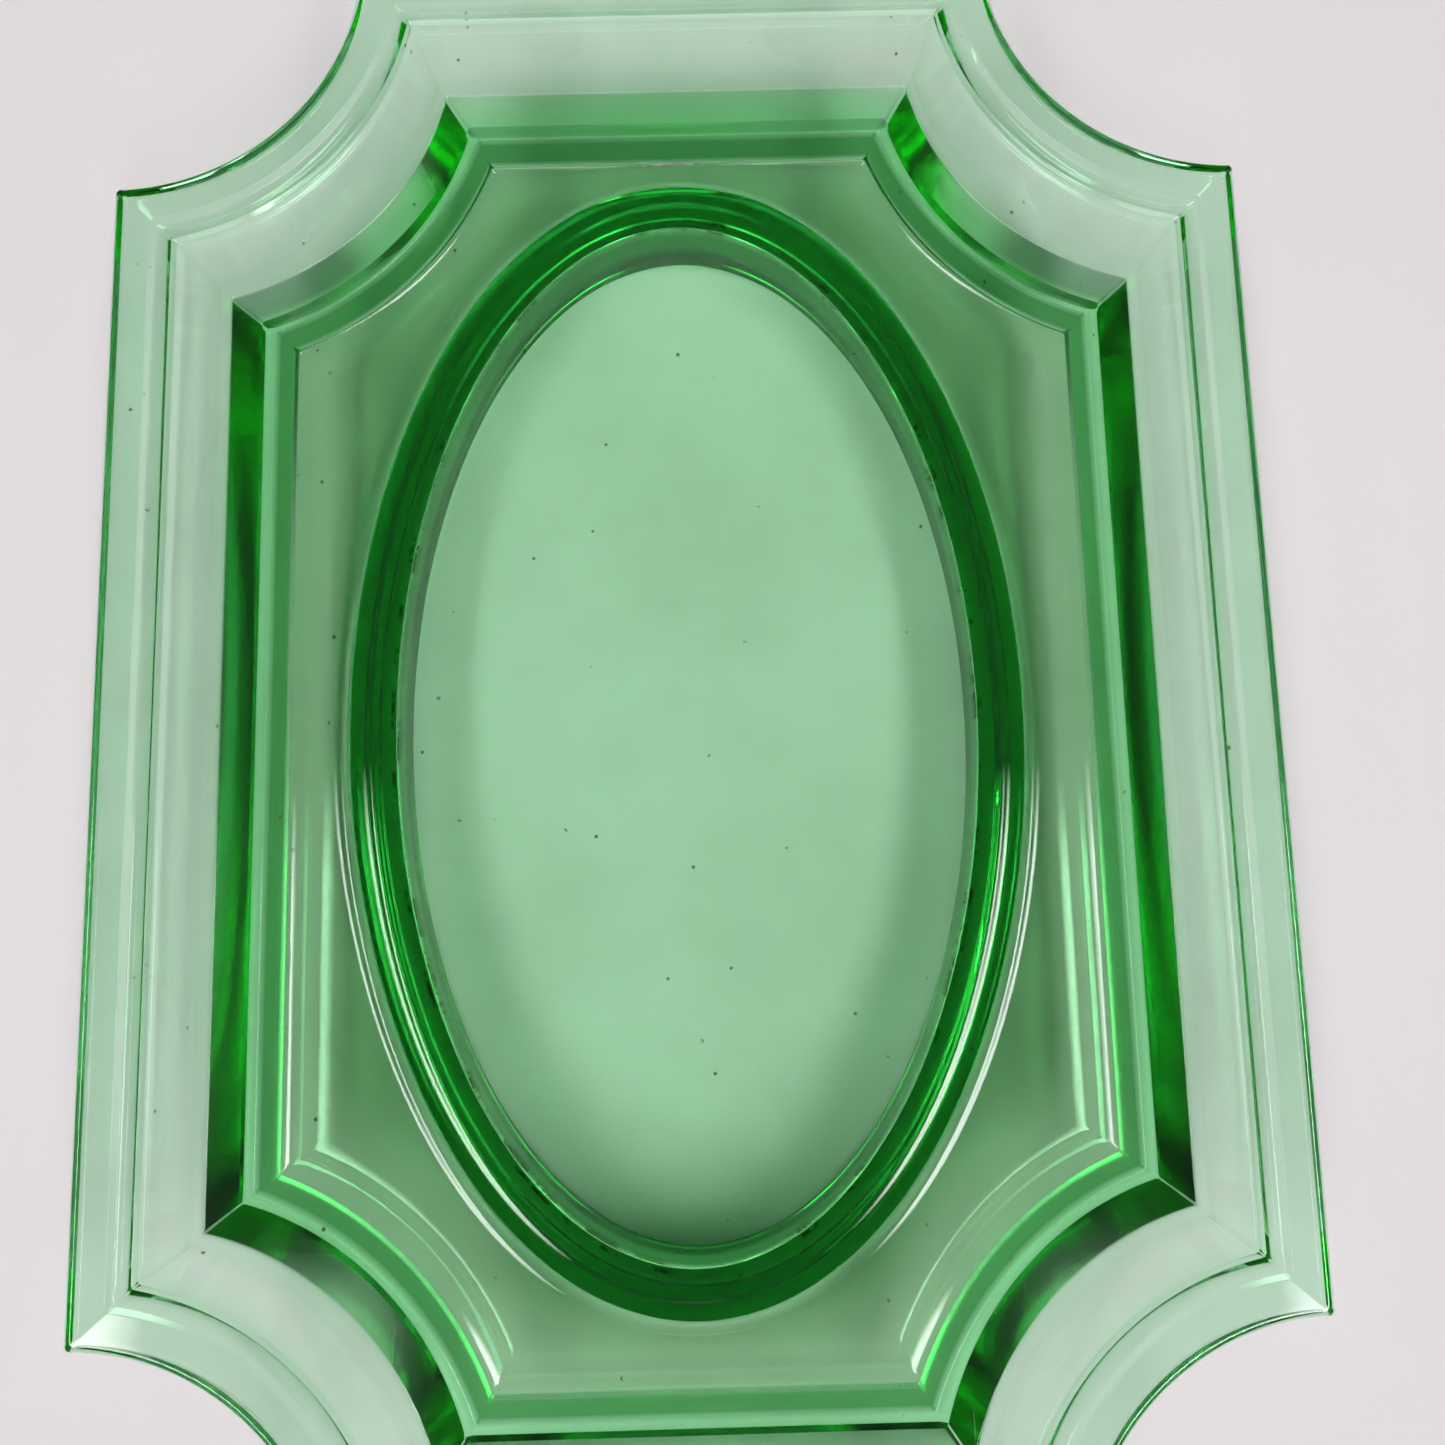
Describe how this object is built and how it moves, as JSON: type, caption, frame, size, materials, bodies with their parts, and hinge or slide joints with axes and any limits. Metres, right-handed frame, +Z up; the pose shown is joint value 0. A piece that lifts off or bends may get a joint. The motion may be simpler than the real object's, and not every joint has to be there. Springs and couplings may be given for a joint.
{
  "type": "glass dish",
  "caption": "Shallow rectangular pressed glass dish with hollowed corners, a stepped rim, a hollow-curved wall and an oval foot ring, for serving or display.",
  "frame": {"origin": "on the table, at the middle of the dish's outline, in the plane of the foot ring's bottom", "axes": "+Y along the dish's length, +X across it, +Z up"},
  "size_m": [0.2026, 0.2846, 0.05],
  "materials": {
    "green_glass": "clear polished, tinted green through its thickness"
  },
  "bodies": {
    "root": {"glass_dish": "green_glass"}
  },
  "joints": []
}
